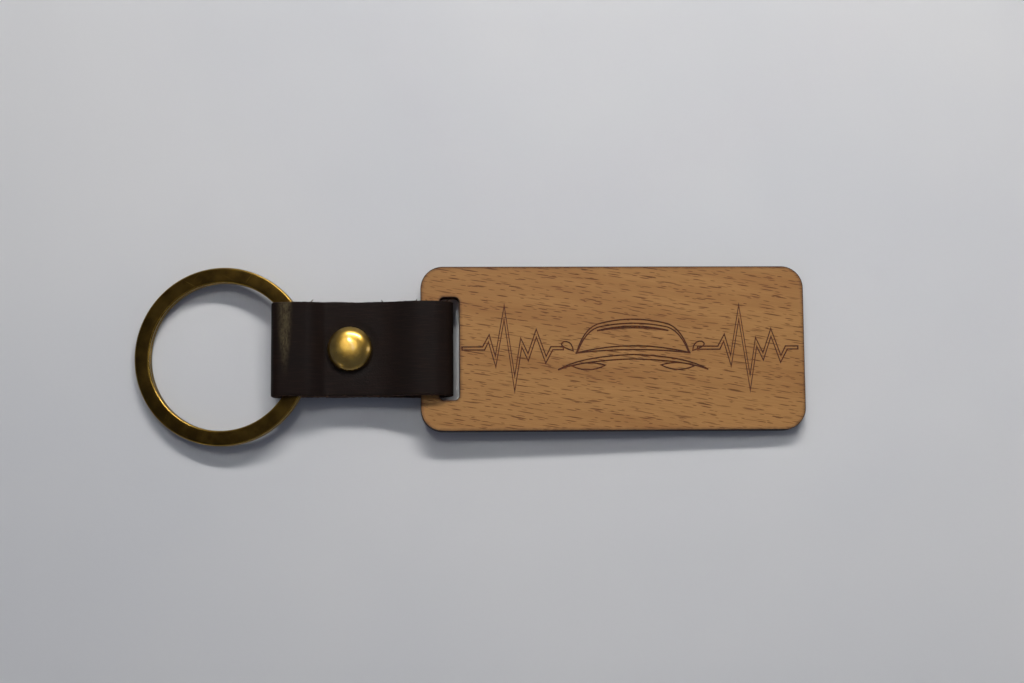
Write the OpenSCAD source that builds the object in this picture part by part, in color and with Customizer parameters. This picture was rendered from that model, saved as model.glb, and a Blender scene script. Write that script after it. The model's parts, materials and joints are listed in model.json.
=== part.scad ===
// Key fob: split key ring, riveted leather strap and laser-cut plywood tag.
// All sizes are in millimetres. The fob lies flat on a table at z = 0, with its length along X.
// The ring's far rim, the tag loop and the tag's far edge rest on the table.

/* [Tag] */
// Length of the plywood tag
tag_l = 70; // [60:1:90]
// Width of the plywood tag
tag_w = 30; // [26:1:40]
// Radius of the tag's corners
tag_corner = 4; // [2:0.5:8]
// Thickness of each face ply
face_ply = 0.8; // [0.6:0.1:1]
// Thickness of the core ply
core_ply = 1.4; // [1:0.1:1.6]
// Width of the bar of wood between the slot and the tag's edge
bar_w = 3.4; // [3:0.1:3.6]
// Width of the strap slot
slot_w = 3.6; // [3.4:0.1:4.5]

/* [Strap] */
// Width of the leather strap
strap_w = 17.2; // [15:0.1:18]
// Thickness of the leather
leather_t = 1.3; // [1:0.1:1.4]
// Inside radius of the loop round the tag's bar
loop_r = 2.5; // [2.5:0.1:2.8]
// How far each strap end runs past the rivet's axis
end_lap = 4.6; // [4.2:0.1:4.9]

/* [Key ring] */
// Outside diameter of the split ring
ring_od = 32.6; // [31:0.1:35]
// Width of the ring's flat wire, measured across the ring
wire_w = 2.8; // [2.4:0.1:3]
// Thickness of one turn of the flat wire
wire_t = 0.97; // [0.8:0.01:1.1]
// How far the ring's centre sits to one side of the strap's centre line
ring_side = -1; // [-1.4:0.1:1.4]

/* [Rivet] */
// Diameter of both rivet caps
cap_d = 8.4; // [7:0.1:8.6]
// Height of the front cap's dome
cap_h = 2.2; // [1.8:0.1:2.5]
// Height of the back cap's dome
back_h = 1.7; // [1.5:0.1:1.9]

/* [Hidden] */
$fn = 64;
eps = 0.01;

// Heights of the leather layers where the rivet clamps them, from the table up
rivet_gap = 0.25; // from the table to the back cap
strap_under = rivet_gap + back_h;
level_b = strap_under + leather_t / 2;
level_front = level_b + 2 * leather_t;
front_top = strap_under + 3 * leather_t;

// Tag: its swing axis is the middle of the bar, inside the strap's loop
tag_t = 2 * face_ply + core_ply;
slot_l = strap_w + 1.5;
slot_corner = 0.9;
tag_edge_x = 12.7; // from the rivet's axis to the tag's near edge
bar_x = tag_edge_x + bar_w / 2;
bar_z = leather_t + loop_r;
tag_reach = tag_l - bar_w / 2;
tag_tilt = asin(bar_z / norm([tag_reach, tag_t / 2])) - atan(tag_t / 2 / tag_reach);

// Strap: the fold round the bar stands a little past the bar, so that the bar can turn in it
fold_past_bar = 0.4;
fold_x = bar_x + fold_past_bar;
fold_mid_r = loop_r + leather_t / 2;
layer_bend_start = 4.9;
lower_bend_stop = 2; // from the fold's middle to where the lower layer is level again
upper_bend_stop = 1.6; // the same for the upper layer

// The strap bends at a line between the rivet and the key ring, where the ring holds it up a little
flex_x = -5.6;
bend_lift = 0.6;
cap_seat = 0.2; // flat leather left round the cap
flex_z = strap_under + 2 * leather_t + bend_lift;
bevel = 34; // slope of the notch on each side of the bend line, from the vertical

// Key ring: two flat turns of one wire
coil_gap = 0.06;
ring_t = 2 * wire_t + coil_gap;
ring_r = ring_od / 2;
ring_in_r = ring_r - wire_w;
wire_edge = 0.3;
crossover = 3.2; // half the length of the slope between the two turns
wire_end_gap = 0.3;
ring_play = 0.12;

// Pocket of the strap round the ring, measured from the bend line
pocket_l = 8.75;
pocket_start = 0.6;
pocket_full = 3.2; // where the pocket has its full height
pocket_ease = 0.03; // between the ring's play and the leather
pocket_mid = ring_t / 2 + ring_play + pocket_ease + leather_t / 2;
fold_wall = 0.35; // leather left at the strap's edge where the ring presses in
ring_chord = sqrt(pow(ring_in_r, 2) - pow(strap_w / 2 + abs(ring_side), 2));
ring_c = pocket_l - fold_wall + ring_chord;
ring_reach = ring_c + ring_r;
ring_tilt = asin(flex_z / norm([ring_reach, ring_t / 2])) - atan(ring_t / 2 / ring_reach);

// Middle of the outline, so that the origin is the middle of the base
x_min = flex_x - ring_reach * cos(ring_tilt) - ring_t / 2 * sin(ring_tilt);
x_max = bar_x + tag_reach * cos(tag_tilt) + tag_t / 2 * sin(tag_tilt);
y_min = min(-tag_w / 2, ring_side - ring_r);
y_max = max(tag_w / 2, ring_side + ring_r);
centre = [(x_min + x_max) / 2, (y_min + y_max) / 2, 0];

// Rivet: each cap is a domed shell closed round a flat flange
shell_t = 0.3;
lip_w = 0.6;
tube_r = 1.6;
post_r = 1.25;
post_wall = 0.35;
post_clench = 0.4; // how far the post is spread past the leather
post_l = 3 * leather_t + shell_t + post_clench;
socket_depth = 2.5;
hole_r = tube_r + 0.02;

// Radius of the ball that a dome of height h is part of
function dome_r(h) = (pow(cap_d / 2, 2) + h * h) / (2 * h);

// Radius of the flange that just fits inside a dome of height h
function flange_r(h) = sqrt(pow(dome_r(h) - shell_t, 2) - pow(dome_r(h) - h + 2 * shell_t, 2)) - 0.02;

// ---------- paths and strips ----------

// Points of a smooth step from point a to point b, level at both ends
function s_bend(a, b, n = 10) =
    [for (i = [0:n]) let (u = i / n) [a[0] + (b[0] - a[0]) * u, a[1] + (b[1] - a[1]) * u * u * (3 - 2 * u)]];

// Points of an arc about c from angle a0 to angle a1
function arc(c, r, a0, a1, n = 24) =
    [for (i = [0:n]) let (a = a0 + (a1 - a0) * i / n) c + r * [cos(a), sin(a)]];

function unit(v) = v / norm(v);

// The normal of a path at its point i
function path_normal(p, i) =
    let (d = unit(p[min(i + 1, len(p) - 1)] - p[max(i - 1, 0)])) [-d[1], d[0]];

// A path moved sideways by d
function beside(p, d) = [for (i = [0:len(p) - 1]) p[i] + d * path_normal(p, i)];

function reversed(p) = [for (i = [len(p) - 1:-1:0]) p[i]];

// Turns a drawing in X and Z into a strip across the strap's width
module strip() {
    rotate([90, 0, 0])
        translate([0, 0, -strap_w / 2])
            linear_extrude(strap_w) children();
}

// ---------- frames ----------

module on_table() {
    translate(-centre) children();
}

// Frame of the ring and its pocket: origin on the bend line, ring towards -X
module ring_frame() {
    on_table() translate([flex_x, 0, flex_z]) rotate([0, -ring_tilt, 0]) children();
}

// Frame of the tag: origin in the middle of the bar, tag towards +X, middle ply at z = 0
module tag_frame() {
    on_table() translate([bar_x, 0, bar_z]) rotate([0, tag_tilt, 0]) children();
}

// ---------- key ring ----------

// One flat turn of wire with eased edges, its middle at height z
module turn(z) {
    translate([0, 0, z])
        rotate_extrude($fn = 96)
            translate([ring_in_r, -wire_t / 2]) eased_rectangle(wire_w, wire_t, wire_edge);
}

module eased_rectangle(w, h, r) {
    translate([r, 0]) square([w - 2 * r, h]);
    translate([0, r]) square([w, h - 2 * r]);
    for (x = [r, w - r], y = [r, h - r])
        translate([x, y]) circle(r, $fn = 24);
}

// Takes a turn of wire away beside the crossover, from y0 to y1
module clear_turn(z, y0, y1) {
    translate([ring_in_r - 2, y0, z - wire_t / 2 - coil_gap / 4])
        cube([wire_w + 4, y1 - y0, wire_t + coil_gap / 2]);
}

// The slope that takes the wire from the upper turn down to the lower one
module crossover_slope(level) {
    intersection() {
        rotate([90, 0, 90])
            linear_extrude(ring_r + 1)
                polygon([
                    [-crossover - eps, level - wire_t / 2], [-crossover - eps, level + wire_t / 2],
                    [-crossover, level + wire_t / 2], [crossover, -level + wire_t / 2],
                    [crossover + eps, -level + wire_t / 2], [crossover + eps, -level - wire_t / 2],
                    [crossover, -level - wire_t / 2], [-crossover, level - wire_t / 2],
                ]);
        difference() {
            translate([0, 0, -ring_t]) cylinder(r = ring_r, h = 2 * ring_t, $fn = 96);
            translate([0, 0, -ring_t - 1]) cylinder(r = ring_in_r, h = 2 * ring_t + 2, $fn = 96);
        }
    }
}

module key_ring() {
    level = (wire_t + coil_gap) / 2;
    color("#5a4a20") ring_frame() translate([-ring_c, ring_side, 0]) {
        difference() {
            turn(level);
            clear_turn(level, -crossover, crossover + wire_end_gap);
        }
        difference() {
            turn(-level);
            clear_turn(-level, -crossover - wire_end_gap, crossover);
        }
        crossover_slope(level);
    }
}

// ---------- leather strap ----------

// The space that the ring turns in
module ring_sweep() {
    translate([-ring_c, ring_side, -ring_t / 2 - ring_play])
        difference() {
            cylinder(r = ring_r + ring_play, h = ring_t + 2 * ring_play, $fn = 96);
            translate([0, 0, -1])
                cylinder(r = ring_in_r - ring_play, h = ring_t + 2 * ring_play + 2, $fn = 96);
        }
}

// Middle line of the leather round the pocket, from the bend line out above the ring and back below it
pocket_side = s_bend([-pocket_start, leather_t / 2], [-pocket_full, pocket_mid]);
pocket_fold = arc([-pocket_l + leather_t / 2 + pocket_mid, 0], pocket_mid, 90, 270);
pocket_path = concat(
    pocket_side, pocket_fold, reversed([for (p = pocket_side) [p[0], -p[1]]])
);
pocket_outline = concat([[0, leather_t]], beside(pocket_path, -leather_t / 2), [[0, -leather_t]]);
pocket_inner = beside(pocket_path, leather_t / 2);
pocket_inside = concat(
    [[-pocket_start, 0]], [for (i = [1:len(pocket_path) - 2]) pocket_inner[i]]
);

// The notch that lets the strap bend: side is 1 towards the rivet, -1 towards the ring
module bend_notch(side) {
    h = 2 * leather_t;
    x = side * h * tan(bevel);
    polygon([[0, 0], [x, h], [-side * h, h], [-side * h, -h], [x, -h]]);
}

module strap_ring_end() {
    color("#241713") ring_frame() difference() {
        strip() difference() {
            polygon(pocket_outline);
            polygon(pocket_inside);
            bend_notch(-1);
        }
        ring_sweep();
    }
}

// Middle line of the loop round the tag's bar, from the bottom layer round to the top one
loop_path = concat(
    s_bend([layer_bend_start, level_b], [fold_x - lower_bend_stop, leather_t / 2]),
    arc([fold_x, bar_z], fold_mid_r, -90, 90),
    s_bend([fold_x - upper_bend_stop, bar_z + fold_mid_r], [layer_bend_start, level_front])
);

// Outline of the strap: three layers under the rivet, with the two ends inside and below
body_outline = concat(
    [[-end_lap, strap_under]],
    beside(loop_path, -leather_t / 2),
    [[-cap_d / 2 - cap_seat, front_top], [flex_x, front_top + bend_lift]],
    [[flex_x, front_top + bend_lift - 2 * leather_t], [-end_lap, strap_under + leather_t]]
);

// The open inside of the loop
loop_inside = concat(
    [[end_lap, strap_under + leather_t]],
    beside(loop_path, leather_t / 2),
    [[end_lap, strap_under + 2 * leather_t]]
);

module strap_body() {
    color("#241713") on_table() difference() {
        strip() difference() {
            polygon(body_outline);
            polygon(loop_inside);
            translate([flex_x, flex_z]) bend_notch(1);
        }
        translate([0, 0, -1]) cylinder(r = hole_r, h = front_top + 2);
    }
}

// ---------- rivet ----------

// Domed shell of height h over a flat base, turned in under the base
module cap_shell(h) {
    rotate_extrude() difference() {
        intersection() {
            translate([0, h - dome_r(h)]) circle(dome_r(h), $fn = 128);
            square([cap_d / 2, h]);
        }
        intersection() {
            translate([0, h - dome_r(h)]) circle(dome_r(h) - shell_t, $fn = 128);
            translate([-1, shell_t]) square([cap_d / 2 + 1, h]);
        }
        translate([-1, -1]) square([flange_r(h) - lip_w + 1, shell_t + 1]);
    }
}

// Flange that a dome of height h grips, with a tube through its middle
module flanged_tube(h, r_out, r_in, length) {
    rotate_extrude() {
        translate([r_in, shell_t]) square([flange_r(h) - r_in, shell_t]);
        translate([r_in, shell_t - length]) square([r_out - r_in, length]);
    }
}

module at_front() {
    on_table() translate([0, 0, front_top]) children();
}

module at_back() {
    on_table() translate([0, 0, strap_under]) mirror([0, 0, 1]) children();
}

module rivet_cap() {
    color("#b8902f") at_front() cap_shell(cap_h);
}

module rivet_socket() {
    color("#8f7028") at_front() flanged_tube(cap_h, tube_r, post_r, shell_t + socket_depth);
}

module rivet_post() {
    color("#8f7028") at_back() flanged_tube(back_h, post_r, post_r - post_wall, post_l);
}

module rivet_back_cap() {
    color("#b8902f") at_back() cap_shell(back_h);
}

// ---------- tag ----------

module rounded_plate(l, w, r) {
    translate([r, -w / 2]) square([l - 2 * r, w]);
    translate([0, -w / 2 + r]) square([l, w - 2 * r]);
    for (x = [r, l - r], y = [-w / 2 + r, w / 2 - r])
        translate([x, y]) circle(r);
}

// Outline of every ply, with the slot that the strap goes through
module tag_outline() {
    translate([-bar_w / 2, 0]) difference() {
        rounded_plate(tag_l, tag_w, tag_corner);
        translate([bar_w, 0]) rounded_plate(slot_w, slot_l, slot_corner);
    }
}

module ply(z, t) {
    tag_frame() translate([0, 0, z]) linear_extrude(t) tag_outline();
}

module tag_front_ply() {
    color("#b08450") ply(core_ply / 2, face_ply);
}

module tag_core_ply() {
    color("#8a6238") ply(-core_ply / 2, core_ply);
}

module tag_back_ply() {
    color("#b08450") ply(-tag_t / 2, face_ply);
}

key_ring();
strap_ring_end();
strap_body();
rivet_cap();
rivet_socket();
rivet_post();
rivet_back_cap();
tag_front_ply();
tag_core_ply();
tag_back_ply();
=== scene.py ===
"""Looks of a key fob: a flat split ring, a riveted leather strap and an engraved plywood tag.

Shapes are drawn in millimetres, each in its own frame, and become metres where the mesh is made.
"""

import json
import math
import random

import bmesh
import bpy
import numpy as np
from mathutils import Matrix, Vector, noise
from mathutils.geometry import delaunay_2d_cdt


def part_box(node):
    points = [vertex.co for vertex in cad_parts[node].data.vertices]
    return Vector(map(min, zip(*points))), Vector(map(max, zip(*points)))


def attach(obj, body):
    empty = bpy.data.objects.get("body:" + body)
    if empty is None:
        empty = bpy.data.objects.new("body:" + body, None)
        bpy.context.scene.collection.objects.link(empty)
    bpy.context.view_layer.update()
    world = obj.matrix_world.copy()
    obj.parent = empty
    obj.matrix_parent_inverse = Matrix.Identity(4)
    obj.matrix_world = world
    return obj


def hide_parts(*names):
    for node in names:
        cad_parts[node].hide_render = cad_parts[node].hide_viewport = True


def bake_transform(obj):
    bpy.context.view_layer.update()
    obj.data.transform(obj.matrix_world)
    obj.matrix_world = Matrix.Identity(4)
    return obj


MM = 0.001
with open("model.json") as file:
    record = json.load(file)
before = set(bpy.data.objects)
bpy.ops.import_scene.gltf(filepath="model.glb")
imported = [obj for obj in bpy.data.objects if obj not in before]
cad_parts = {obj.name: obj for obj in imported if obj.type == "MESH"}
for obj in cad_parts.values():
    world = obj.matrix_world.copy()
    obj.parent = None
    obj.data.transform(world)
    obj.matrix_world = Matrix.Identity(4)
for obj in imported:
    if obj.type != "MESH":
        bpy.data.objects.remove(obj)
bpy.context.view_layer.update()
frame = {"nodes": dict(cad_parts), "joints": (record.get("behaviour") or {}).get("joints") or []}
joints = {j["name"]: j for j in frame["joints"]}
random.seed(7)

# ---------------------------------------------------------------- sizes, in millimetres

TAG_L, TAG_W, TAG_CORNER = 70.0, 30.0, 4.0
FACE_PLY, CORE_PLY = 0.8, 1.4
BAR_W = 3.4
SLOT_W, SLOT_L, SLOT_CORNER = 3.6, 18.7, 0.9
GROOVE_DEPTH = 0.15
GROOVE_W = 0.26
TAG_EASE = 0.12
GLUE_EASE = 0.03

LEATHER_T = 1.3
LAYER_EASE = 0.985  # keeps the clamped layers from sharing a face
STRAP_W = 17.2
END_LAP = 4.6
LOOP_R = 2.5
BEND_START = 4.9
FOLD_PAST_BAR = 0.5
POCKET_L = 8.75
RING_PLAY = 0.15
POCKET_FULL = -1.9
RIVET_CLEAR = 4.3
RIVET_SINK = 0.1
# How far back from the ring's fold, and how wide, the pale stripe lies: a worn scuff that is also a painted
# highlight on the fold's crest
SCUFF_SHEEN_BACK, SCUFF_SHEEN_HALF = 2.95, 1.3
FIBRES = 160

WIRE_W, WIRE_T, COIL_GAP = 2.8, 0.97, 0.06
RING_R = 16.3
WIRE_EASE = 0.3
CROSSOVER = 3.2
WIRE_END_GAP = 0.3

SHELL_T = 0.3
HOLE_R = 1.62
CAP_SIDES, HOLE_SIDES = 96, 48
DOME_POWER = 3.0
LIP_R = 2.6


def in_mm(point):
    return Vector(point) / MM


FLEX = in_mm(joints["strap_flex"]["pos_m"])
BAR = in_mm(joints["tag_swing"]["pos_m"])
RING_CENTRE = in_mm(joints["ring_spin"]["pos_m"])
RING_AXIS = Vector(joints["ring_spin"]["axis"])
rivet_low, rivet_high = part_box("rivet_cap")
RIVET = in_mm((rivet_low + rivet_high) / 2)
CAP_D, _, CAP_H = in_mm(rivet_high - rivet_low)
FRONT_TOP = rivet_low.z / MM
back_low, back_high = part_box("rivet_back_cap")
BACK_H = (back_high.z - back_low.z) / MM

TAG_T = 2 * FACE_PLY + CORE_PLY
TAG_REACH = TAG_L - BAR_W / 2
TAG_TILT = math.asin(BAR.z / math.hypot(TAG_REACH, TAG_T / 2)) - math.atan(TAG_T / 2 / TAG_REACH)
RING_TILT = math.atan2(-RING_AXIS.x, RING_AXIS.z)

TAG_FRAME = Matrix.Translation(BAR * MM) @ Matrix.Rotation(TAG_TILT, 4, "Y")
RING_ROTATION = Matrix.Rotation(RING_TILT, 3, "Y")
RING_FRAME = Matrix.Translation(RING_CENTRE * MM) @ Matrix.Rotation(-RING_TILT, 4, "Y")


# ---------------------------------------------------------------- camera

def add_camera():
    """Looks almost straight down, from a little below the fob's long side."""
    data = bpy.data.cameras.new("camera")
    data.lens = 66.2
    data.sensor_width = 36
    data.clip_start = 0.01
    camera = bpy.data.objects.new("camera", data)
    camera.location = (0.0050, -0.0360, 0.3444)
    camera.rotation_euler = (math.radians(6.43), math.radians(-0.42), math.radians(-0.45))
    bpy.context.scene.collection.objects.link(camera)
    bpy.context.scene.camera = camera


add_camera()


# ---------------------------------------------------------------- making pieces

def new_piece(name, points, faces, materials, face_material=None, smooth_angle=None):
    """A mesh object from points in millimetres, smooth where its faces meet at less than smooth_angle."""
    mesh = bpy.data.meshes.new(name)
    mesh.from_pydata([Vector(p) * MM for p in points], [], faces)
    for material in materials:
        mesh.materials.append(material)
    if face_material is not None:
        mesh.polygons.foreach_set("material_index", face_material)
    solid = bmesh.new()
    solid.from_mesh(mesh)
    bmesh.ops.recalc_face_normals(solid, faces=solid.faces)
    solid.to_mesh(mesh)
    solid.free()
    if smooth_angle is not None:
        mesh.polygons.foreach_set("use_smooth", [True] * len(mesh.polygons))
        mesh.set_sharp_from_angle(angle=math.radians(smooth_angle))
    piece = bpy.data.objects.new(name, mesh)
    bpy.context.scene.collection.objects.link(piece)
    return piece


def joined_rings(count, size, first=0):
    """Quads between `count` rings of `size` points each, numbered from `first`."""
    quads = []
    for i in range(count - 1):
        for j in range(size):
            a, b = first + i * size + j, first + i * size + (j + 1) % size
            quads.append((a, b, b + size, a + size))
    return quads


def lathe(profile, sides):
    """Points and faces of a profile turned about Z. Its two ends lie on the axis."""
    points = [(0, 0, profile[0][1])]
    turns = [2 * math.pi * i / sides for i in range(sides)]
    for radius, z in profile[1:-1]:
        points += [(radius * math.cos(a), radius * math.sin(a), z) for a in turns]
    last = len(points)
    points.append((0, 0, profile[-1][1]))
    faces = joined_rings(len(profile) - 2, sides, 1)
    for i in range(sides):
        j = (i + 1) % sides
        faces.append((0, 1 + i, 1 + j))
        faces.append((last, last - sides + j, last - sides + i))
    return points, faces


def point_values(piece, name, values):
    """Stores one number for each point, for the material to read."""
    layer = piece.data.attributes.new(name, "FLOAT", "POINT")
    layer.data.foreach_set("value", np.asarray(values, np.float32))


def smooth_step(t):
    t = min(max(t, 0.0), 1.0)
    return t * t * (3 - 2 * t)


# ---------------------------------------------------------------- shader building blocks

class Nodes:
    """A short way to add and link nodes in a material or a node group."""

    def __init__(self, tree):
        self.tree = tree

    def add(self, kind, **settings):
        node = self.tree.nodes.new(kind)
        for key, value in settings.items():
            setattr(node, key, value)
        return node

    def put(self, socket, value):
        if isinstance(value, bpy.types.NodeSocket):
            self.tree.links.new(value, socket)
        elif value is not None:
            socket.default_value = value

    def math(self, operation, a, b=None):
        node = self.add("ShaderNodeMath", operation=operation)
        for socket, value in zip(node.inputs, (a, b)):
            self.put(socket, value)
        return node.outputs[0]

    def mix(self, factor, a, b):
        node = self.add("ShaderNodeMix", data_type="RGBA")
        self.put(node.inputs["Factor"], factor)
        self.put(node.inputs[6], a)
        self.put(node.inputs[7], b)
        return node.outputs[2]

    def ramp(self, value, low, high, to_low=0.0, to_high=1.0, smooth=False):
        node = self.add("ShaderNodeMapRange", interpolation_type="SMOOTHSTEP" if smooth else "LINEAR")
        for socket, setting in zip(node.inputs, (value, low, high, to_low, to_high)):
            self.put(socket, setting)
        return node.outputs[0]

    def stretched(self, vector, scale, turn=0.0, shift=(0, 0, 0)):
        """The vector turned about Z, then scaled along each axis."""
        turned = self.add("ShaderNodeMapping")
        self.put(turned.inputs["Vector"], vector)
        turned.inputs["Rotation"].default_value = (0, 0, turn)
        turned.inputs["Location"].default_value = shift
        scaled = self.add("ShaderNodeMapping")
        self.put(scaled.inputs["Vector"], turned.outputs[0])
        scaled.inputs["Scale"].default_value = scale
        return scaled.outputs[0]

    def noise(self, vector, scale, detail=2.0, roughness=0.5, distortion=0.0):
        node = self.add("ShaderNodeTexNoise")
        settings = {"Vector": vector, "Scale": scale, "Detail": detail,
                    "Roughness": roughness, "Distortion": distortion}
        for key, value in settings.items():
            self.put(node.inputs[key], value)
        return node.outputs["Fac"]

    def use(self, group, **values):
        """Places a node group, with spaces in its socket names given as underscores."""
        node = self.add("ShaderNodeGroup", node_tree=group)
        for key, value in values.items():
            self.put(node.inputs[key.replace("_", " ")], value)
        return node.outputs


def node_group(name, inputs, outputs):
    """A shader node group with named sockets. inputs maps a name to its default or to 'vector'."""
    group = bpy.data.node_groups.new(name, "ShaderNodeTree")
    for key, value in inputs.items():
        kind = "NodeSocketVector" if value == "vector" else "NodeSocketFloat"
        socket = group.interface.new_socket(key, in_out="INPUT", socket_type=kind)
        if value != "vector":
            socket.default_value = value
    for key in outputs:
        group.interface.new_socket(key, in_out="OUTPUT", socket_type="NodeSocketFloat")
    nodes = Nodes(group)
    start = nodes.add("NodeGroupInput")
    end = nodes.add("NodeGroupOutput")
    return group, nodes, start.outputs, end.inputs


def make_mottle():
    """Soft uneven patches, from 0 to 1."""
    group, n, given, out = node_group(
        "mottle", {"Vector": "vector", "Scale": 1.0, "Detail": 3.0, "Low": 0.35, "High": 0.65}, ["Value"])
    cloud = n.noise(given["Vector"], given["Scale"], given["Detail"])
    n.put(out["Value"], n.ramp(cloud, given["Low"], given["High"], smooth=True))
    return group


def make_scratches():
    """Fine crossing scratches, 1 in a scratch and 0 beside it."""
    group, n, given, out = node_group(
        "scratches", {"Vector": "vector", "Scale": 1.0, "Amount": 0.5}, ["Value"])
    edge = n.math("SUBTRACT", 0.86, n.math("MULTIPLY", given["Amount"], 0.2))
    total = None
    for turn, length in ((0.5, 0.06), (-0.9, 0.08), (1.9, 0.05)):
        along = n.stretched(given["Vector"], (length, 1.6, 1.0), turn)
        line = n.ramp(n.noise(along, given["Scale"], 1.0), edge, 1.0, smooth=True)
        total = line if total is None else n.math("MAXIMUM", total, line)
    n.put(out["Value"], n.math("MULTIPLY", total, 6.0))
    return group


def make_plate_distance():
    """Distance to the outline of a round-cornered rectangle: negative inside it."""
    group, n, given, out = node_group(
        "plate_distance",
        {"Vector": "vector", "Centre X": 0.0, "Half Length": 1.0, "Half Width": 1.0, "Corner": 0.1},
        ["Distance"])
    split = n.add("ShaderNodeSeparateXYZ")
    n.put(split.inputs[0], given["Vector"])
    from_x = n.math("ABSOLUTE", n.math("SUBTRACT", split.outputs["X"], given["Centre X"]))
    from_y = n.math("ABSOLUTE", split.outputs["Y"])
    over_x = n.math("SUBTRACT", from_x, n.math("SUBTRACT", given["Half Length"], given["Corner"]))
    over_y = n.math("SUBTRACT", from_y, n.math("SUBTRACT", given["Half Width"], given["Corner"]))
    out_x = n.math("MAXIMUM", over_x, 0.0)
    out_y = n.math("MAXIMUM", over_y, 0.0)
    squares = n.math("ADD", n.math("MULTIPLY", out_x, out_x), n.math("MULTIPLY", out_y, out_y))
    outside = n.math("SQRT", squares)
    inside = n.math("MINIMUM", n.math("MAXIMUM", over_x, over_y), 0.0)
    n.put(out["Distance"], n.math("SUBTRACT", n.math("ADD", outside, inside), given["Corner"]))
    return group


# Size of the cell that holds one fleck, half the fleck's own size, and a shift of the whole layer
FLECK_LAYERS = (
    ((3.5, 1.2), (1.5, 0.10), 0.0),
    ((4.6, 1.8), (2.1, 0.12), 31.0),
    ((2.4, 1.2), (0.8, 0.08), 67.0),
)


def one_fleck_per_cell(n, flow, cell, half_size, shift):
    """Long thin lens shapes scattered one to a cell, each with its own length and darkness."""
    where = n.stretched(flow, (1 / cell[0], 1 / cell[1], 1.0), 0.0, (shift, shift, 0))
    spots = n.add("ShaderNodeTexVoronoi", voronoi_dimensions="2D")
    n.put(spots.inputs["Vector"], where)
    n.put(spots.inputs["Scale"], 1.0)
    chance = n.add("ShaderNodeSeparateColor")
    n.put(chance.inputs[0], spots.outputs["Color"])
    offset = n.add("ShaderNodeVectorMath", operation="SUBTRACT")
    n.put(offset.inputs[0], where)
    n.put(offset.inputs[1], spots.outputs["Position"])
    parts = n.add("ShaderNodeSeparateXYZ")
    n.put(parts.inputs[0], offset.outputs[0])
    half_length = n.ramp(chance.outputs[0], 0.0, 1.0, 0.45 * half_size[0], half_size[0])
    along = n.math("DIVIDE", n.math("MULTIPLY", parts.outputs["X"], cell[0]), half_length)
    beside = n.math("MULTIPLY", parts.outputs["Y"], cell[1] / half_size[1])
    along_squared = n.math("POWER", n.math("ABSOLUTE", along), 2.0)
    reach = n.math("ADD", along_squared, n.math("MULTIPLY", beside, beside))
    shape = n.ramp(reach, 0.25, 1.1, 1.0, 0.0, smooth=True)
    return n.math("MULTIPLY", shape, n.ramp(chance.outputs[1], 0.0, 1.0, 0.4, 1.0))


def make_beech_grain():
    """Scattered flecks, faint long fibres and broad bands of beech, all along X but for the slant."""
    group, n, given, out = node_group(
        "beech_grain", {"Vector": "vector", "Slant": 0.1, "Fleck Amount": 1.0},
        ["Flecks", "Fibres", "Bands"])
    turned = n.add("ShaderNodeVectorRotate", rotation_type="Z_AXIS")
    n.put(turned.inputs["Vector"], given["Vector"])
    n.put(turned.inputs["Angle"], given["Slant"])
    drift = n.noise(n.stretched(turned.outputs[0], (0.05, 0.12, 0.1)), 1.0, 2.0)
    bent = n.add("ShaderNodeCombineXYZ")
    n.put(bent.inputs["Y"], n.math("MULTIPLY", drift, 1.1))
    flow = n.add("ShaderNodeVectorMath", operation="ADD")
    n.put(flow.inputs[0], turned.outputs[0])
    n.put(flow.inputs[1], bent.outputs[0])
    flecks = None
    for cell, half_size, shift in FLECK_LAYERS:
        fleck = one_fleck_per_cell(n, flow.outputs[0], cell, half_size, shift)
        flecks = fleck if flecks is None else n.math("MAXIMUM", flecks, fleck)
    flecks = n.math("MULTIPLY", flecks, given["Fleck Amount"])
    n.put(out["Flecks"], flecks)
    n.put(out["Fibres"], n.noise(n.stretched(flow.outputs[0], (0.16, 7.0, 1.0)), 1.0, 4.0, 0.6))
    n.put(out["Bands"], n.noise(n.stretched(flow.outputs[0], (0.02, 0.22, 0.2)), 1.0, 2.0))
    return group


MOTTLE = make_mottle()
SCRATCHES = make_scratches()
PLATE_DISTANCE = make_plate_distance()
BEECH_GRAIN = make_beech_grain()


def srgb(r, g, b):
    """A linear colour from 8-bit display values."""
    shown = [v / 255 for v in (r, g, b)]
    return tuple(v / 12.92 if v <= 0.04 else ((v + 0.055) / 1.055) ** 2.4 for v in shown) + (1.0,)


def new_material(name, colour, roughness, metallic=0.0, **more):
    """A Principled material and the helper that adds its nodes."""
    material = bpy.data.materials.new(name)
    material.use_nodes = True
    material.diffuse_color = colour
    shader = material.node_tree.nodes["Principled BSDF"]
    values = {"Base Color": colour, "Roughness": roughness, "Metallic": metallic}
    values.update({key.replace("_", " "): value for key, value in more.items()})
    for key, value in values.items():
        shader.inputs[key].default_value = value
    return material, Nodes(material.node_tree), shader.inputs


def object_mm(n):
    """Coordinates of the piece in millimetres."""
    where = n.add("ShaderNodeTexCoord")
    scaled = n.add("ShaderNodeVectorMath", operation="SCALE")
    n.put(scaled.inputs[0], where.outputs["Object"])
    scaled.inputs["Scale"].default_value = 1 / MM
    return scaled.outputs[0]


def bump(n, shader, height, depth_mm):
    """Feeds a height from 0 to 1 to the shader's normal, as relief of depth_mm."""
    node = n.add("ShaderNodeBump")
    node.inputs["Strength"].default_value = 1.0
    node.inputs["Distance"].default_value = depth_mm * MM
    n.put(node.inputs["Height"], height)
    n.put(shader["Normal"], node.outputs[0])


# ---------------------------------------------------------------- wood

WOOD_LIGHT = srgb(173, 125, 68)
WOOD_DARK = srgb(160, 111, 57)
WOOD_FLECK = srgb(84, 42, 16)
WOOD_SCORCH = srgb(78, 46, 27)
CHAR_DARK = srgb(24, 14, 9)
CHAR_BROWN = srgb(66, 36, 22)


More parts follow.
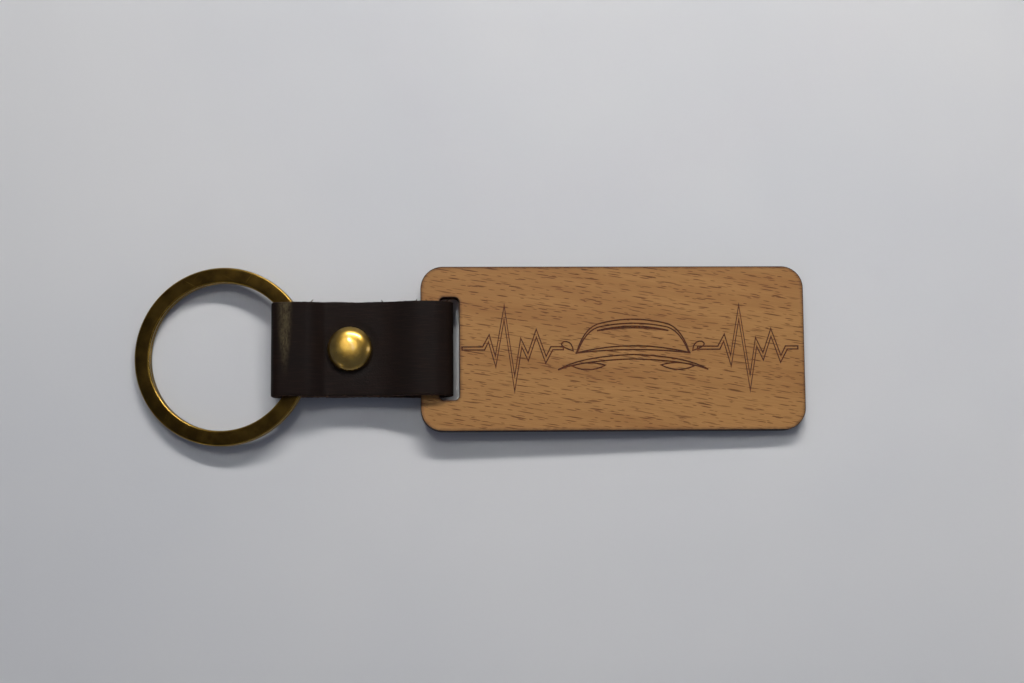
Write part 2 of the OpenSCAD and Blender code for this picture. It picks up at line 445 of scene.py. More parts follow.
def beech_colour(n, where, slant):
    """Colour and relief of planed beech."""
    grain = n.use(BEECH_GRAIN, Vector=where, Slant=slant, Fleck_Amount=1.0)
    bands = n.ramp(grain["Bands"], 0.35, 0.65, smooth=True)
    plain = n.mix(bands, WOOD_DARK, WOOD_LIGHT)
    fibres = n.ramp(grain["Fibres"], 0.35, 0.7)
    fibrous = n.mix(n.math("MULTIPLY", fibres, 0.22), plain, WOOD_FLECK)
    flecked = n.mix(n.math("MULTIPLY", grain["Flecks"], 0.88), fibrous, WOOD_FLECK)
    raised = n.math("MULTIPLY", grain["Fibres"], 0.5)
    height = n.math("SUBTRACT", raised, n.math("MULTIPLY", grain["Flecks"], 0.4))
    return flecked, height, grain["Flecks"]


def beech_face(name, slant):
    """Bare beech whose surface is scorched in a narrow band beside the cuts."""
    material, n, shader = new_material(name, WOOD_LIGHT, 0.62, Specular_IOR_Level=0.35)
    where = object_mm(n)
    colour, height, flecks = beech_colour(n, where, slant)
    outline = n.use(PLATE_DISTANCE, Vector=where, Centre_X=TAG_L / 2 - BAR_W / 2, Half_Length=TAG_L / 2,
                    Half_Width=TAG_W / 2, Corner=TAG_CORNER)["Distance"]
    slot = n.use(PLATE_DISTANCE, Vector=where, Centre_X=(BAR_W + SLOT_W) / 2, Half_Length=SLOT_W / 2,
                 Half_Width=SLOT_L / 2, Corner=SLOT_CORNER)["Distance"]
    nearest = n.math("MAXIMUM", outline, n.math("MULTIPLY", slot, -1.0))
    wander = n.math("MULTIPLY", n.noise(where, 1.1, 3.0), 0.5)
    scorch = n.ramp(n.math("ADD", nearest, wander), -0.45, 0.4, smooth=True)
    n.put(shader["Base Color"], n.mix(n.math("MULTIPLY", scorch, 0.85), colour, WOOD_SCORCH))
    n.put(shader["Roughness"], n.ramp(flecks, 0.0, 1.0, 0.58, 0.75))
    bump(n, shader, height, 0.05)
    return material


def charred_wood(name, dark, brown, coarse):
    """Laser-cut wood: nearly black, with browner streaks where the smoke cleared."""
    material, n, shader = new_material(name, dark, 0.7, Specular_IOR_Level=0.3)
    where = object_mm(n)
    streaks = n.use(MOTTLE, Vector=n.stretched(where, (1.0, 1.0, 0.25)), Scale=coarse, Low=0.4, High=0.72)
    n.put(shader["Base Color"], n.mix(streaks["Value"], dark, brown))
    n.put(shader["Roughness"], n.ramp(streaks["Value"], 0.0, 1.0, 0.55, 0.85))
    bump(n, shader, n.noise(n.stretched(where, (1.0, 1.0, 0.3)), 6.0, 4.0), 0.06)
    return material


FACE_WOOD = beech_face("beech_face", 0.15)
BACK_WOOD = beech_face("beech_back", -0.05)
CUT_WOOD = charred_wood("laser_cut_edge", CHAR_DARK, CHAR_BROWN, 1.6)
CORE_CUT_WOOD = charred_wood("laser_cut_core", srgb(15, 10, 7), srgb(44, 26, 17), 2.4)
GROOVE_WOOD = charred_wood("engraved_wood", srgb(72, 31, 13), srgb(108, 56, 27), 2.2)


# ---------------------------------------------------------------- engraved drawing

def curve(a, b, c, steps):
    """Points on a quadratic curve from a towards b and on to c."""
    points = []
    for i in range(steps + 1):
        t = i / steps
        points.append(tuple(p * (1 - t) ** 2 + 2 * q * t * (1 - t) + r * t * t for p, q, r in zip(a, b, c)))
    return points


def side_points(line, offsets, closed):
    """Points beside a bent line at the given distances to its left, mitred inside each bend."""
    count = len(line)
    beside = []
    for i, point in enumerate(line):
        here, last, following = Vector(point), Vector(line[i - 1]), Vector(line[(i + 1) % count])
        before = here - last if closed or i > 0 else Vector(line[1]) - here
        after = following - here if closed or i < count - 1 else here - last
        room = 0.8 * min(before.length, after.length)
        before, after = before.normalized(), after.normalized()
        normal = Vector((-before.y - after.y, before.x + after.x))
        normal = normal.normalized() if normal.length > 1e-6 else Vector((-before.y, before.x))
        reach = 1 / max(normal.dot(Vector((-before.y, before.x))), 0.05)
        turns_left = before.x * after.y - before.y * after.x > 0
        distance = offsets[i]
        if (distance > 0) == turns_left:
            shift = math.copysign(min(abs(distance) * reach, max(room, abs(distance))), distance)
        else:
            shift = distance * min(reach, 1.7)
        beside.append(tuple(here + normal * shift))
    return beside


def stroke_outline(line, widths):
    """The closed outline of a brush stroke along a line."""
    left = side_points(line, [w / 2 for w in widths], False)
    right = side_points(line, [-w / 2 for w in widths], False)
    return left + right[::-1]


def brush(line, widest, narrowest=0.05):
    """A stroke that swells in its middle."""
    last = len(line) - 1
    swell = [math.sin(math.pi * i / last) for i in range(last + 1)]
    return stroke_outline(line, [narrowest + (widest - narrowest) * s for s in swell])


def flipped(line):
    return [(-x, y) for x, y in line[::-1]]


BEAT = [(0, 0), (3.9, 0), (4.9, 2.1), (6.1, -3.1), (7.7, 7.7), (9.5, -7.7), (10.7, 1.5),
        (12.0, -1.9), (13.5, 3.1), (15.2, -2.3), (16.3, 0), (18.4, 0)]
BEAT_STARTS = (7.5, 50.4)
BEAT_WIDTH = 0.56
CAR_CENTRE = 38.6


def car_front():
    """Outlines of a plain car seen from the front, about its middle, from curves of few points."""
    pillar = curve((-10.2, -0.7), (-8.6, 3.9), (-5.6, 4.3), 7)
    roof = curve((-5.6, 4.3), (0, 5.5), (5.6, 4.3), 10)
    arch = pillar + roof[1:] + flipped(pillar)[1:]
    bonnet_side = curve((-13.6, -3.9), (-9.5, -1.9), (0, -1.6), 9)
    bonnet = bonnet_side + curve((0, -1.6), (9.5, -1.9), (13.6, -3.9), 9)[1:]
    shapes = [
        brush(arch, 0.75, 0.12),
        brush(curve((-6.4, 3.2), (0, 4.5), (6.4, 3.2), 10), 0.3),
        brush(curve((-10.4, -0.9), (0, 1.0), (10.4, -0.9), 12), 0.7),
        brush(bonnet, 0.8),
    ]
    mirror = curve((10.9, -0.5), (11.1, 1.4), (12.6, 1.2), 5)
    mirror += curve((12.6, 1.2), (14.0, 0.5), (10.9, -0.5), 6)[1:-1]
    lamp = curve((5.0, -3.1), (8.3, -2.2), (11.2, -3.3), 7)
    lamp += curve((11.2, -3.3), (8.0, -4.7), (5.0, -3.1), 7)[1:-1]
    for shape in (mirror, lamp):
        shapes += [shape, flipped(shape)]
    return shapes


def engraved_outlines():
    """Every closed outline that the laser follows, from the tag's near edge along its middle."""
    outlines = []
    for start in BEAT_STARTS:
        trace = stroke_outline(BEAT, [BEAT_WIDTH] * len(BEAT))
        outlines.append([(x + start, y) for x, y in trace])
    outlines += [[(x + CAR_CENTRE, y) for x, y in shape] for shape in car_front()]
    return outlines


# ---------------------------------------------------------------- tag

def plate_outline(near_x, length, width, corner, inset, steps):
    """A round-cornered rectangle moved inwards by inset, anticlockwise."""
    radius = corner - inset
    middle_y = width / 2 - corner
    corners = ((near_x + length - corner, middle_y), (near_x + corner, middle_y),
               (near_x + corner, -middle_y), (near_x + length - corner, -middle_y))
    points = []
    for quarter, (x, y) in enumerate(corners):
        for i in range(steps + 1):
            angle = math.pi / 2 * (quarter + i / steps)
            points.append((x + radius * math.cos(angle), y + radius * math.sin(angle)))
    return points


def eased_wall(low, high, low_ease, high_ease, steps=3):
    """Pairs of inset and height up a wall whose two edges are rounded."""
    wall = []
    for i in range(steps + 1):
        angle = math.pi / 2 * i / steps
        wall.append((low_ease * (1 - math.sin(angle)), low + low_ease * (1 - math.cos(angle))))
    for i in range(steps + 1):
        angle = math.pi / 2 * i / steps
        wall.append((high_ease * (1 - math.cos(angle)), high - high_ease * (1 - math.sin(angle))))
    return wall


class PlyMesh:
    """Collects the points and faces of one ply with a slot and engraved lines."""

    FACE, CUT, GROOVE = 0, 1, 2

    def __init__(self):
        self.points, self.faces, self.kinds = [], [], []

    def add(self, face, kind):
        self.faces.append(tuple(face))
        self.kinds.append(kind)

    def wall(self, outline, wall):
        """A wall round an outline. Returns the point numbers of its lowest and highest ring."""
        first = len(self.points)
        for inset, height in wall:
            self.points += [(x, y, height) for x, y in outline(inset)]
        size = len(outline(0))
        for quad in joined_rings(len(wall), size, first):
            self.add(quad, self.CUT)
        last = first + (len(wall) - 1) * size
        return list(range(first, first + size)), list(range(last, last + size))

    def cap(self, rings, outlines, height, depth):
        """Fills between the outer ring and the slot's ring, with lines cut to a depth."""
        flat = [Vector(self.points[i][:2]) for ring in rings for i in ring]
        ring_sizes = [len(ring) for ring in rings]
        faces_in = [list(range(ring_sizes[0])), list(range(ring_sizes[0], sum(ring_sizes)))]
        for outline in outlines:
            half = GROOVE_W / 2
            left = side_points(outline, [half] * len(outline), True)
            right = side_points(outline, [-half] * len(outline), True)
            first = len(flat)
            flat += [Vector(p) for p in left + right]
            size = len(outline)
            for i in range(size):
                j = (i + 1) % size
                faces_in.append([first + i, first + size + i, first + size + j, first + j])
        verts, _, faces, vert_from, _, face_from = delaunay_2d_cdt(flat, [], faces_in, 0, 1e-5)
        ring_numbers = [i for ring in rings for i in ring]
        top, floor = {}, {}

        def top_point(v):
            if v not in top:
                known = [k for k in vert_from[v] if k < len(ring_numbers)]
                top[v] = ring_numbers[known[0]] if known else len(self.points)
                if not known:
                    self.points.append((verts[v].x, verts[v].y, height))
            return top[v]

        def floor_point(v):
            if v not in floor:
                floor[v] = len(self.points)
                self.points.append((verts[v].x, verts[v].y, height - depth))
            return floor[v]

        sides = {}
        for face, origin in zip(faces, face_from):
            if 0 not in origin or 1 in origin:
                continue
            grooved = any(k > 1 for k in origin)
            self.add([(floor_point if grooved else top_point)(v) for v in face],
                     self.GROOVE if grooved else self.FACE)
            for a, b in zip(face, list(face[1:]) + [face[0]]):
                sides.setdefault(frozenset((a, b)), []).append((a, b, grooved))
        for pair in sides.values():
            if len(pair) == 2 and pair[0][2] != pair[1][2]:
                a, b, _ = pair[0] if pair[0][2] else pair[1]
                self.add((floor_point(b), floor_point(a), top_point(a), top_point(b)), self.GROOVE)


def make_ply(name, low, high, low_ease, high_ease, materials, outlines, node):
    """One ply of the tag, standing for the plain solid of that ply."""
    mesh = PlyMesh()
    near_x = -BAR_W / 2

    def tag_outline(inset):
        return plate_outline(near_x, TAG_L, TAG_W, TAG_CORNER, inset, 14)

    def slot_outline(inset):
        return plate_outline(near_x + BAR_W, SLOT_W, SLOT_L, SLOT_CORNER, -inset, 8)

    wall = eased_wall(low, high, low_ease, high_ease)
    outer_low, outer_high = mesh.wall(tag_outline, wall)
    slot_low, slot_high = mesh.wall(slot_outline, wall)
    drawn = [[(x + near_x, y) for x, y in outline] for outline in outlines]
    mesh.cap((outer_high, slot_high), drawn, high, GROOVE_DEPTH)
    mesh.cap((outer_low, slot_low), [], low, 0)
    piece = new_piece(name, mesh.points, mesh.faces, materials, mesh.kinds, 13)
    piece.matrix_world = TAG_FRAME
    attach(piece, "tag")
    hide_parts(node)


def make_tag():
    half = CORE_PLY / 2
    make_ply("engraved_ply", half, half + FACE_PLY, GLUE_EASE, TAG_EASE,
             [FACE_WOOD, CUT_WOOD, GROOVE_WOOD], engraved_outlines(), "tag_front_ply")
    make_ply("middle_ply", -half, half, GLUE_EASE, GLUE_EASE,
             [CORE_CUT_WOOD, CORE_CUT_WOOD], [], "tag_core_ply")
    make_ply("back_ply", -half - FACE_PLY, -half, TAG_EASE, GLUE_EASE,
             [BACK_WOOD, CUT_WOOD], [], "tag_back_ply")


make_tag()


# ---------------------------------------------------------------- brass

def brass(name, colour, dark, bright, roughness, patch_scale, **more):
    """Brass with darker patches, and bright metal where the point value `rubbed` says it is worn."""
    material, n, shader = new_material(name, colour, roughness, 1.0, **more)
    where = object_mm(n)
    patches = n.use(MOTTLE, Vector=where, Scale=patch_scale, Detail=4.0, Low=0.3, High=0.7)["Value"]
    worn = n.add("ShaderNodeAttribute", attribute_name="rubbed").outputs["Fac"]
    broken = n.math("MULTIPLY", worn, n.ramp(n.noise(where, 1.7, 4.0, 0.65), 0.3, 0.55, 0.35, 1.0))
    lines = n.use(SCRATCHES, Vector=where, Scale=2.2, Amount=0.55)["Value"]
    rubbed = n.math("MINIMUM", n.math("MAXIMUM", broken, n.math("MULTIPLY", lines, 0.35)), 1.0)
    n.put(shader["Base Color"], n.mix(rubbed, n.mix(patches, dark, colour), bright))
    n.put(shader["Roughness"], n.ramp(rubbed, 0.0, 1.0, roughness, roughness * 0.62))
    height = n.math("SUBTRACT", n.noise(where, 5.0, 4.0), n.math("MULTIPLY", lines, 0.5))
    bump(n, shader, height, 0.01)
    return material


RING_BRASS = brass("antique_brass", srgb(86, 66, 27), srgb(62, 46, 18), srgb(200, 162, 76), 0.34, 0.35)
CAP_BRASS = brass("polished_brass", srgb(200, 162, 74), srgb(178, 140, 58), srgb(236, 204, 120), 0.31, 0.5,
                  Coat_Weight=1.0, Coat_Roughness=0.05)
INNER_BRASS = brass("plain_brass", srgb(190, 158, 82), srgb(150, 120, 60), srgb(225, 195, 110), 0.3, 0.8)


def bar_section(width, thickness, ease, ease_steps, flat_steps, side_steps):
    """Points round a flat bar's section, anticlockwise: (across, up, how square the edge is there)."""
    section = []
    corners = ((1, 1, flat_steps), (-1, 1, side_steps), (-1, -1, flat_steps), (1, -1, side_steps))
    for quarter, (side_x, side_z, steps) in enumerate(corners):
        for i in range(ease_steps + 1):
            angle = math.pi / 2 * (quarter + i / ease_steps)
            x = side_x * (width / 2 - ease) + ease * math.cos(angle)
            z = side_z * (thickness / 2 - ease) + ease * math.sin(angle)
            section.append((x, z, math.sin(math.pi * i / ease_steps)))
        for i in range(1, steps):
            t = i / steps
            if steps == flat_steps:
                section.append((side_x * (width / 2 - ease) * (1 - 2 * t), side_z * thickness / 2, 0.0))
            else:
                section.append((side_x * width / 2, side_z * (thickness / 2 - ease) * (1 - 2 * t), 0.0))
    return section


# ---------------------------------------------------------------- split ring

def wire_level(angle):
    """Height of the wire's middle at an angle along its two turns."""
    level = (WIRE_T + COIL_GAP) / 2
    slope = CROSSOVER / (RING_R - WIRE_W / 2)
    return level * (1 - 2 * smooth_step((angle - 2 * math.pi + slope) / (2 * slope)))


def make_ring():
    """Two flat turns of one wire, with square ends beside the slope that joins the turns."""
    middle = RING_R - WIRE_W / 2
    start = (CROSSOVER + WIRE_END_GAP) / middle
    end = 4 * math.pi - start
    ease = 0.12
    stations = 420
    section = bar_section(WIRE_W, WIRE_T, WIRE_EASE, 6, 8, 3)
    angles = [start] + [start + ease / middle + (end - start - 2 * ease / middle) * i / stations
                        for i in range(stations + 1)] + [end]
    points, rubbed = [], []
    for angle in angles:
        tip = angle in (start, end)
        for x, z, edge in section:
            crown = 1 - 0.05 * (2 * x / WIRE_W) ** 2
            across = x * (1 - 2 * ease / WIRE_W) if tip else x
            up = z * crown * ((1 - 2 * ease / WIRE_T) if tip else 1.0)
            radius = middle + across
            points.append((radius * math.cos(angle), radius * math.sin(angle), wire_level(angle) + up))
            rubbed.append(1.0 if tip else edge ** 2)
    size = len(section)
    faces = joined_rings(len(angles), size)
    faces += [tuple(range(size)), tuple(range(len(points) - size, len(points)))]
    piece = new_piece("split_ring", points, faces, [RING_BRASS], None, 50)
    point_values(piece, "rubbed", rubbed)
    piece.matrix_world = RING_FRAME
    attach(piece, "ring")
    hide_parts("key_ring")


make_ring()


# ---------------------------------------------------------------- leather

LEATHER_DARK = srgb(17, 8, 5)
LEATHER_BROWN = srgb(26, 14, 9)
LEATHER_RAW = srgb(84, 58, 42)
# Pale dusty brown for the ring fold's stripe: worn leather, and also a painted highlight where light catches
# the fold's crest
LEATHER_DUST_AND_SHEEN = srgb(90, 80, 58)


def strap_coordinates(n):
    """Distance along and across the strip in millimetres, laid out flat."""
    return n.add("ShaderNodeUVMap", uv_map="strip").outputs[0]


def grain_leather():
    """Smooth dyed leather with a fine pebble, hair lines along the strip, and a stripe on the ring's fold
    painted pale both as worn leather and as the highlight on the fold's crest.
    """
    material, n, shader = new_material("strap_leather", LEATHER_DARK, 0.55, Specular_IOR_Level=0.13)
    where = strap_coordinates(n)
    patches = n.use(MOTTLE, Vector=where, Scale=0.22, Detail=4.0, Low=0.3, High=0.7)["Value"]
    pebble = n.add("ShaderNodeTexVoronoi", feature="SMOOTH_F1")
    n.put(pebble.inputs["Vector"], where)
    n.put(pebble.inputs["Scale"], 3.4)
    n.put(pebble.inputs["Smoothness"], 0.7)
    cells = pebble.outputs["Distance"]
    fine = n.noise(where, 7.0, 4.0, 0.6)
    hairs = n.use(SCRATCHES, Vector=where, Scale=1.3, Amount=0.5)["Value"]
    brushed = n.noise(n.stretched(where, (0.3, 5.0, 1.0)), 1.0, 3.0)
    # Painted highlight: the pale stripe on the ring's fold stands for both wear and the light caught on the
    # fold's crest
    scuff_sheen_mask = n.add("ShaderNodeAttribute", attribute_name="scuff_and_sheen").outputs["Fac"]
    scuff_sheen_breakup = n.ramp(n.noise(n.stretched(where, (1.9, 0.8, 1.0)), 1.0, 6.0, 0.7), 0.3, 0.62, smooth=True)
    dust_and_sheen = n.math("MULTIPLY", scuff_sheen_mask, scuff_sheen_breakup)
    base = n.mix(n.math("MULTIPLY", patches, 0.6), LEATHER_DARK, LEATHER_BROWN)
    streaked = n.mix(n.math("MULTIPLY", n.ramp(brushed, 0.5, 0.75), 0.1), base, LEATHER_RAW)
    n.put(shader["Base Color"], n.mix(n.math("MULTIPLY", dust_and_sheen, 0.8), streaked, LEATHER_DUST_AND_SHEEN))
    worn_matt = n.math("MULTIPLY", dust_and_sheen, 0.35)
    n.put(shader["Roughness"], n.math("ADD", n.ramp(patches, 0.0, 1.0, 0.52, 0.62), worn_matt))
    height = n.math("ADD", n.math("MULTIPLY", cells, 0.7), n.math("MULTIPLY", fine, 0.45))
    height = n.math("SUBTRACT", height, n.math("MULTIPLY", hairs, 0.2))
    bump(n, shader, n.math("ADD", height, n.math("MULTIPLY", dust_and_sheen, 0.5)), 0.035)
    return material


def fibrous_leather(name, dark, light, stretch, scale, depth):
    """Raw leather: matted fibres, stretched along the strip."""
    material, n, shader = new_material(name, dark, 0.9, Specular_IOR_Level=0.2)
    where = n.stretched(strap_coordinates(n), stretch)
    matted = n.noise(where, scale, 5.0, 0.7, 0.6)
    tufts = n.use(MOTTLE, Vector=where, Scale=scale * 0.35, Detail=3.0, Low=0.35, High=0.65)["Value"]
    n.put(shader["Base Color"], n.mix(n.math("MULTIPLY", tufts, n.ramp(matted, 0.3, 0.7)), dark, light))
    n.put(shader["Roughness"], n.ramp(matted, 0.3, 0.7, 0.8, 0.95))
    bump(n, shader, matted, depth)
    return material


STRAP_LEATHER = grain_leather()
FLESH_LEATHER = fibrous_leather("strap_flesh_side", srgb(44, 32, 26), srgb(84, 62, 48),
                                (0.6, 1.0, 1.0), 3.0, 0.14)
EDGE_LEATHER = fibrous_leather("strap_cut_edge", srgb(52, 37, 29), srgb(112, 82, 62),
                               (1.0, 1.0, 2.5), 2.4, 0.12)


# ---------------------------------------------------------------- strap

def s_bend(a, b, steps=14):
    """Points of a smooth step from a to b, level at both ends."""
    return [(a[0] + (b[0] - a[0]) * i / steps, a[1] + (b[1] - a[1]) * smooth_step(i / steps))
            for i in range(steps + 1)]


def arc(centre, radius, first, last, steps=24):
    angles = [math.radians(first + (last - first) * i / steps) for i in range(steps + 1)]
    return [(centre[0] + radius * math.cos(a), centre[1] + radius * math.sin(a)) for a in angles]


def ring_to_row(x, z):
    """A point of the ring's own frame, measured from the bend line, in the row's X and Z."""
    cos_t, sin_t = math.cos(RING_TILT), math.sin(RING_TILT)
    return (FLEX.x + x * cos_t - z * sin_t, FLEX.z + x * sin_t + z * cos_t)


def strap_path():
    """Middle line of the whole strip in X and Z: back end, tag loop, front, ring loop, inner end."""
    x0 = RIVET.x
    half = LEATHER_T / 2
    bottom = FRONT_TOP - 3 * LEATHER_T + half
    middle, front = bottom + LEATHER_T, bottom + 2 * LEATHER_T
    fold = (BAR.x + FOLD_PAST_BAR, BAR.z)
    fold_r = LOOP_R + half
    pocket_z = WIRE_T + COIL_GAP / 2 + RING_PLAY + half
    pocket_r = 1.0
    end_x = -POCKET_L + half + pocket_r
    path = [(x0 - END_LAP, bottom), (x0, bottom)]
    path += s_bend((x0 + BEND_START, bottom), (fold[0] - 2, half))
    path += arc(fold, fold_r, -90, 90)
    path += s_bend((fold[0] - 1.6, fold[1] + fold_r), (x0 + BEND_START, front))
    path += [(x0, front)]
    path += s_bend((x0 - RIVET_CLEAR, front), ring_to_row(POCKET_FULL, pocket_z))
    path += [ring_to_row(*p) for p in arc((end_x, pocket_z - pocket_r), pocket_r, 90, 180)]
    path += [ring_to_row(*p) for p in arc((end_x, pocket_r - pocket_z), pocket_r, 180, 270)]
    path += s_bend(ring_to_row(POCKET_FULL, -pocket_z), (x0 - RIVET_CLEAR, middle))
    path += [(x0, middle), (x0 + END_LAP, middle)]
    return path


def evenly_spaced(path, step):
    """Points about `step` apart along the path, slightly eased, and their distances along it."""
    line = np.array(path)
    lengths = np.concatenate(([0], np.cumsum(np.linalg.norm(np.diff(line, axis=0), axis=1))))
    along = np.linspace(0, lengths[-1], int(lengths[-1] / step) + 1)
    even = np.column_stack([np.interp(along, lengths, line[:, k]) for k in range(2)])
    for _ in range(5):
        even[1:-1] = even[1:-1] * 0.5 + (even[:-2] + even[2:]) * 0.25
    return even, along


def edge_wander(along, side):
    """How far the cut edge strays from a straight line, in millimetres."""
    slow = 0.09 * noise.noise(Vector((along * 0.22, side * 9, 0)))
    fast = 0.06 * noise.noise(Vector((along * 1.7, side * 5, 3)))
    return slow + fast


def pressed_by_rivet(x, y, z):
    """The height of a leather point near the rivet, sunk under the rim of either cap."""
    away = math.hypot(x - RIVET.x, y) - CAP_D / 2
    sunk = RIVET_SINK * smooth_step(1 - away / 1.4)
    if z > FRONT_TOP - 0.3:
        return z - sunk
    if z < FRONT_TOP - 3 * LEATHER_T + 0.3:
        return z + sunk
    return z


def clear_of_ring(x, y, z):
    """Moves a point of the fold out of the space that the ring's wire turns in."""
    point = RING_ROTATION @ (Vector((x, y + BAR.y, z)) - RING_CENTRE)
    radius = math.hypot(point.x, point.y)
    inner = RING_R - WIRE_W - 0.08
    if abs(point.z) > WIRE_T + COIL_GAP / 2 + 0.08 or not inner < radius < RING_R - WIRE_W / 2:
        return x, y, z
    moved = RING_ROTATION.inverted() @ Vector((
        point.x - (radius - inner) / max(point.x / radius, 0.3), point.y, point.z)) + RING_CENTRE
    return moved.x, moved.y - BAR.y, moved.z


def fibre(start, direction, length, thickness):
    """Points and faces of one loose, curled fibre with three sides."""
    points, faces = [], []
    segments = 5
    curl = random.uniform(-1.2, 1.2)
    for i in range(segments + 1):
        t = i / segments
        bend = Vector((math.sin(curl * t) * length * 0.5, 0, random.uniform(-0.1, 0.1) * length))
        middle = start + direction * length * t + bend
        radius = thickness * (1 - 0.7 * t)
        points += [middle + Vector((math.cos(a) * radius, 0, math.sin(a) * radius)) for a in (0.5, 2.6, 4.7)]
    faces = joined_rings(segments + 1, 3)
    faces += [(0, 1, 2), (3 * segments + 2, 3 * segments + 1, 3 * segments)]
    return points, faces


def cut_rivet_hole(strap):
    """Punches the strip where the rivet's tube goes through its three layers."""
    below, above = FRONT_TOP - 3.5 * LEATHER_T, FRONT_TOP + 0.5 * LEATHER_T
    outline = [(0.0, below), (HOLE_R, below), (HOLE_R, above), (0.0, above)]
    punch = new_piece("punch", *lathe(outline, HOLE_SIDES), [EDGE_LEATHER])
    punch.location = (RIVET.x * MM, RIVET.y * MM, 0)
    cut = strap.modifiers.new("rivet_hole", "BOOLEAN")
    cut.operation, cut.solver, cut.material_mode = "DIFFERENCE", "EXACT", "TRANSFER"
    cut.object = punch
    evaluated = strap.evaluated_get(bpy.context.evaluated_depsgraph_get())
    punched = bpy.data.meshes.new_from_object(evaluated)
    strap.modifiers.clear()
    strap.data = punched
    bpy.data.objects.remove(punch)


def make_strap():
    """One strip of leather from its back end, round the tag's bar and the ring, to its inner end."""
    path, along = evenly_spaced(strap_path(), 0.22)
    section = bar_section(STRAP_W, LEATHER_T, 0.22, 4, 48, 5)
    size = len(section)
    direction = np.gradient(path, axis=0)
    direction /= np.linalg.norm(direction, axis=1)[:, None]
    fold_at = along[int(np.argmin(path[:, 0]))]
    points, flat, scuff_and_sheen = [], [], []
    for (x, z), (dx, dz), s in zip(path, direction, along):
        from_end = min(s, along[-1] - s)
        thin = 1 - 0.12 * smooth_step(1 - from_end / 0.25)
        for across, out, _ in section:
            side = 1 if across > 0 else -1
            wander = edge_wander(s, side) * smooth_step((abs(across) - STRAP_W / 2 + 1.5) / 1.5)
            wave = 0.02 * (noise.noise(Vector((s * 0.35, across * 0.3, 5))) - 1)
            y = across + side * wander - 0.05 * side
            lift = out * thin * LAYER_EASE + wave * (out > 0)
            px, pz = x + dz * lift, z - dx * lift
            pz = pressed_by_rivet(px, y, pz)
            points.append(clear_of_ring(px, y, pz) if out < 0 else (px, y, pz))
            flat.append((s, across if out > 0 else across + 40, 0))
            # The stripe of scuff and painted highlight along the ring's fold is brighter and wider towards
            # +Y, the side the window light falls on
            back = fold_at - s
            sheen_side_fade = smooth_step((across / STRAP_W + 0.36) / 0.7)
            half = SCUFF_SHEEN_HALF * (0.45 + 0.55 * sheen_side_fade)
            scuff_sheen_stripe = smooth_step(1.2 - abs(back - SCUFF_SHEEN_BACK) / half) if out > 0 else 0.0
            scuff_and_sheen.append(scuff_sheen_stripe * min(1.0, sheen_side_fade * 1.6))
    faces = joined_rings(len(path), size)
    kinds = []
    for i in range(len(faces)):
        a, b = section[i % size], section[(i + 1) % size]
        middle = (abs(a[0]) + abs(b[0])) / 2
        kinds.append(2 if middle > STRAP_W / 2 - 0.1 else (0 if a[1] > 0 else 1))
    faces += [tuple(range(size)), tuple(range(len(points) - size, len(points)))]
    kinds += [2, 2]
    for _ in range(FIBRES):
        s = random.uniform(2, along[-1] - 2)
        k = int(np.searchsorted(along, s))
        side = 1 if random.random() < 0.8 else -1
        (x, z), (dx, dz) = path[k], direction[k]
        out = random.uniform(-0.3, 0.6)
        start = Vector((x + dz * out, side * (STRAP_W / 2 - 0.12), z - dx * out))
        sideways = Vector((random.uniform(-0.8, 0.8), side, random.uniform(-0.1, 0.6))).normalized()
        tuft, tuft_faces = fibre(start, sideways, random.uniform(0.3, 0.5), random.uniform(0.08, 0.18))
        first = len(points)
        points += tuft
        faces += [tuple(first + v for v in face) for face in tuft_faces]
        kinds += [2] * len(tuft_faces)
        flat += [(s, side * STRAP_W / 2, 0)] * len(tuft)
        scuff_and_sheen += [0.0] * len(tuft)
    strap = new_piece("leather_strap", [(x, y + BAR.y, z) for x, y, z in points], faces,
                      [STRAP_LEATHER, FLESH_LEATHER, EDGE_LEATHER], kinds, 50)
    point_values(strap, "scuff_and_sheen", scuff_and_sheen)
    layer = strap.data.uv_layers.new(name="strip")
    for loop in strap.data.loops:
        layer.data[loop.index].uv = flat[loop.vertex_index][:2]
    cut_rivet_hole(strap)
    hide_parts("strap_body", "strap_ring_end")
    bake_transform(strap)


make_strap()


# ---------------------------------------------------------------- rivet

def dome_height(r, radius, height):
    """Height at radius r of a dome that is flattish on top and steep at its rim."""
    return height * math.sqrt(max(0.0, 1 - (r / radius) ** DOME_POWER))


def cap_profile(height):
    """Radius and height of a closed domed shell, from its top outside round to its top inside."""
    outer = CAP_D / 2
    inner = outer - SHELL_T
    turns = [math.pi / 2 * i / 30 for i in range(31)]
    profile = [(outer * math.sin(a), dome_height(outer * math.sin(a), outer, height)) for a in turns]
    profile += [(outer - 0.02, -RIVET_SINK * 0.5), (outer - 0.14, -RIVET_SINK), (LIP_R, -RIVET_SINK)]
    profile += [(LIP_R - 0.06, -RIVET_SINK + 0.12), (LIP_R, SHELL_T - RIVET_SINK)]
    profile += [(inner * math.sin(a), dome_height(inner * math.sin(a), inner, height - SHELL_T))
                for a in turns[-4::-2]]
    profile.append((0.0, height - SHELL_T))
    return profile


def make_cap(name, node, height, leather_z, up):
    points, faces = lathe(cap_profile(height), CAP_SIDES)
    cap = new_piece(name, points, faces, [CAP_BRASS], None, 60)
    rim = [smooth_step((math.hypot(x, y) - CAP_D / 2 + 0.5) / 0.4) * 0.8 for x, y, _ in points]
    point_values(cap, "rubbed", rim)
    turned = Matrix.Identity(4) if up else Matrix.Rotation(math.pi, 4, "X")
    place = Vector((RIVET.x, RIVET.y, leather_z)) * MM
    cap.matrix_world = Matrix.Translation(place) @ turned
    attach(cap, "strap")
    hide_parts(node)


make_cap("domed_cap", "rivet_cap", CAP_H, FRONT_TOP, True)
make_cap("back_cap", "rivet_back_cap", BACK_H, FRONT_TOP - 3 * LEATHER_T, False)
for node in ("rivet_socket", "rivet_post"):
    inner = frame["nodes"][node]
    inner.data.materials.clear()
    inner.data.materials.append(INNER_BRASS)


# ---------------------------------------------------------------- table and light

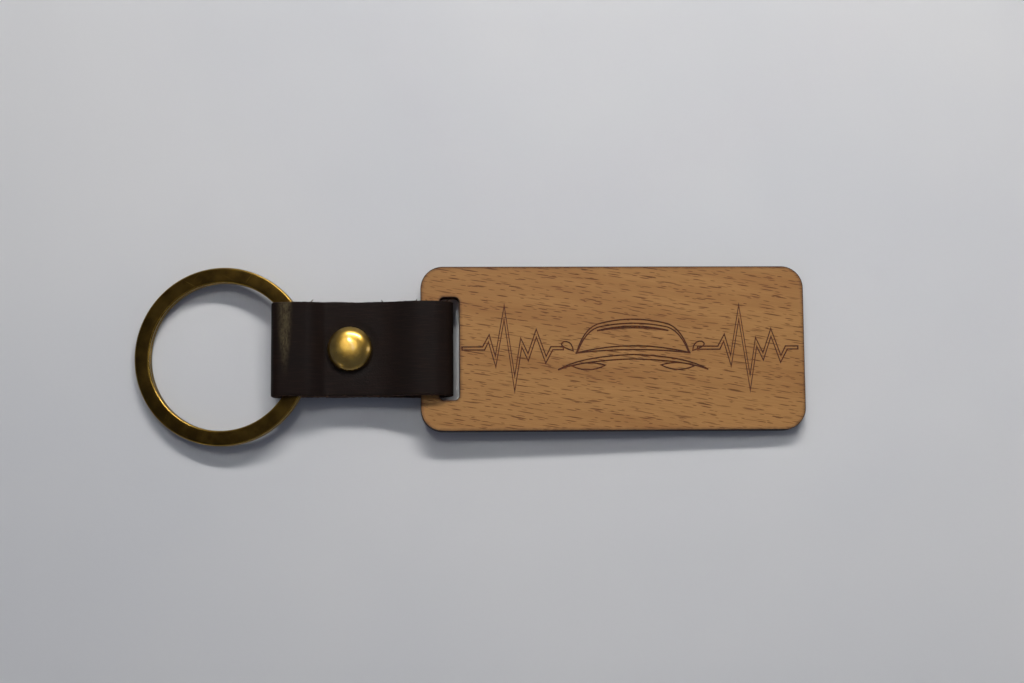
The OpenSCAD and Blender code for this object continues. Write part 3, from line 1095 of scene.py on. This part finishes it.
def make_table():
    """A sheet of pale, slightly uneven matt card."""
    material, n, shader = new_material("pale_card", srgb(214, 215, 217), 0.9, Specular_IOR_Level=0.15)
    where = object_mm(n)
    patches = n.use(MOTTLE, Vector=where, Scale=0.012, Detail=3.0, Low=0.3, High=0.7)["Value"]
    n.put(shader["Base Color"], n.mix(patches, srgb(210, 211, 214), srgb(217, 217, 218)))
    bump(n, shader, n.noise(where, 0.35, 5.0, 0.6), 0.03)
    size = 900
    corners = [(-size, -size, 0), (size, -size, 0), (size, size, 0), (-size, size, 0)]
    table = new_piece("table", corners, [(0, 1, 2, 3)], [material])


def add_light(name, size_x, size_y, power, colour, place, target=(0, 0, 0), spread=180):
    """A soft rectangular light that faces the target, in metres, with its beam's spread in degrees."""
    data = bpy.data.lights.new(name, "AREA")
    data.shape = "RECTANGLE"
    data.size, data.size_y = size_x, size_y
    data.energy = power
    data.color = colour
    data.spread = math.radians(spread)
    light = bpy.data.objects.new(name, data)
    light.location = place
    light.rotation_euler = (Vector(target) - Vector(place)).to_track_quat("-Z", "Y").to_euler()
    bpy.context.scene.collection.objects.link(light)


def add_lights():
    """A long window, a ceiling strip along Y round a brighter lamp, two low lamps and a dim bluish room."""
    world = bpy.data.worlds.new("room")
    world.use_nodes = True
    world.node_tree.nodes["Background"].inputs["Color"].default_value = (0.5, 0.56, 0.75, 1)
    world.node_tree.nodes["Background"].inputs["Strength"].default_value = 0.18
    bpy.context.scene.world = world
    add_light("window", 0.30, 0.036, 1.45, (1.0, 0.985, 0.95), (0.05, 0.31, 0.335))
    add_light("ceiling_strip", 0.06, 0.55, 0.72, (1.0, 0.99, 0.96), (-0.108, 0.36, 1.1), (-0.02, 0.02, 0))
    add_light("ceiling_lamp", 0.05, 0.16, 0.042, (1.0, 0.99, 0.96), (-0.108, 0.36, 1.1), (0.04, 0.03, 0), 26)
    add_light("right_fill", 0.1, 0.3, 0.16, (1.0, 0.96, 0.88), (0.42, 0.02, 0.12))
    add_light("low_lamp", 0.06, 0.06, 0.05, (1.0, 0.96, 0.88), (-0.35, -0.5, 0.2))


make_table()
add_lights()
bpy.context.scene.view_settings.view_transform = "Standard"
